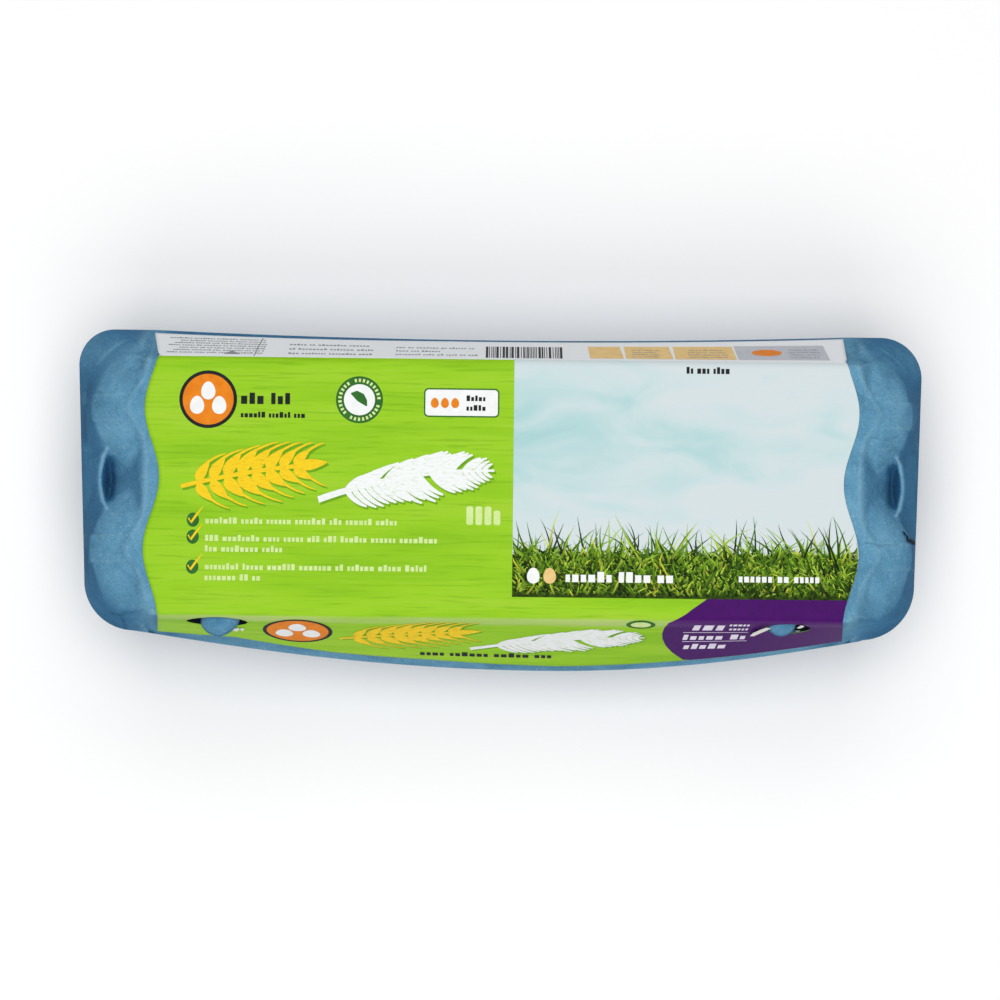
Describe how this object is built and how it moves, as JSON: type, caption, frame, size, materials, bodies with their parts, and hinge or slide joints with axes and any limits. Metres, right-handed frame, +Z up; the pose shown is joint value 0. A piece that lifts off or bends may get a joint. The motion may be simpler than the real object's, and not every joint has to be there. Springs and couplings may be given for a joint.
{
  "type": "egg carton",
  "caption": "Shut egg carton of moulded pulp in two rows, with egg-shaped lobes at its ends, button latches at the front and a printed paper label folded over its lid.",
  "frame": {"origin": "middle of the bounding box, on the floor under the feet of the cups", "axes": "+X along the long side, +Z up, the latched front faces -Y and the hinge is at +Y"},
  "size_m": [0.3035, 0.1212, 0.07],
  "materials": {
    "carton_pulp": "rough matt moulded fibre",
    "label_paper": "satin coated print"
  },
  "bodies": {
    "root": {"carton": "carton_pulp", "label": "label_paper"}
  },
  "joints": []
}
